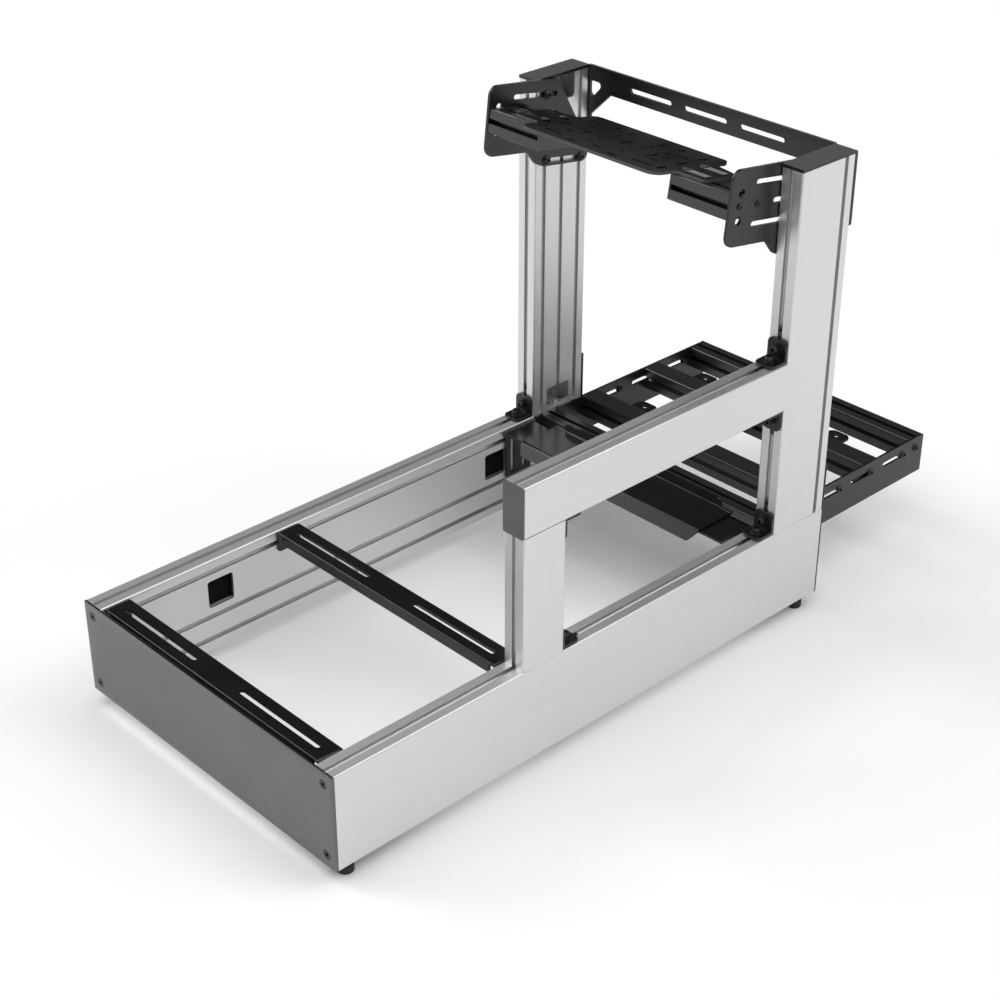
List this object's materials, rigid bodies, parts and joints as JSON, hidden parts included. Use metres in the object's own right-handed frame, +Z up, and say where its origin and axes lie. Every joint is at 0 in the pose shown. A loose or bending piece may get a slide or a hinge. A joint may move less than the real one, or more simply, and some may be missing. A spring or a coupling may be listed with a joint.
{
  "type": "sim racing cockpit frame",
  "caption": "Racing simulator frame of slotted aluminium profiles with slotted seat channels, tilted wheel deck, side shifter arm and pedal tray.",
  "frame": {"origin": "centre of the bounding box on the floor plane, under the feet", "axes": "+Y towards the pedals, the way the driver faces; +X driver's right; +Z up"},
  "size_m": [0.5856, 1.344, 0.804],
  "materials": {
    "satin_aluminium": "satin natural anodised",
    "black_profile": "satin black anodised",
    "black_plate": "fine texture powder coat",
    "grey_plate": "satin powder coat",
    "grey_cap": "fine matt",
    "foot_rubber": "matt"
  },
  "bodies": {
    "root": {"bracket_arm_leg": "black_plate", "bracket_arm_post_lower": "black_plate", "bracket_arm_post_upper": "black_plate", "bracket_leg_rail": "black_plate", "bracket_rail_post_left": "black_plate", "bracket_rail_post_right": "black_plate", "cross_plate": "black_plate", "foot_front_left": "foot_rubber", "foot_front_right": "foot_rubber", "foot_rear_left": "foot_rubber", "foot_rear_right": "foot_rubber", "front_joining_plate_left": "black_plate", "front_joining_plate_right": "black_plate", "heel_bracket_left": "black_plate", "heel_bracket_right": "black_plate", "heel_plate": "black_plate", "pedal_tab_middle_left": "black_plate", "pedal_tab_middle_right": "black_plate", "pedal_tab_rear_left": "black_plate", "pedal_tab_rear_right": "black_plate", "rail_left": "satin_aluminium", "rail_right": "satin_aluminium", "rear_end_plate": "grey_plate", "seat_bracket_front": "black_plate", "seat_bracket_rear": "black_plate", "shifter_arm": "satin_aluminium", "shifter_arm_cap": "grey_cap", "shifter_leg": "satin_aluminium", "tray_bar_front": "black_profile", "tray_bar_heel": "black_profile", "tray_bar_middle": "black_profile", "tray_bar_rear": "black_profile", "tray_side_left": "black_plate", "tray_side_right": "black_plate", "upright_left": "satin_aluminium", "upright_right": "satin_aluminium", "wheel_deck": "black_plate", "wheel_ear_left": "black_plate", "wheel_ear_right": "black_plate", "wheel_stub_cap_left": "black_profile", "wheel_stub_cap_right": "black_profile", "wheel_stub_left": "black_profile", "wheel_stub_right": "black_profile"}
  },
  "joints": []
}
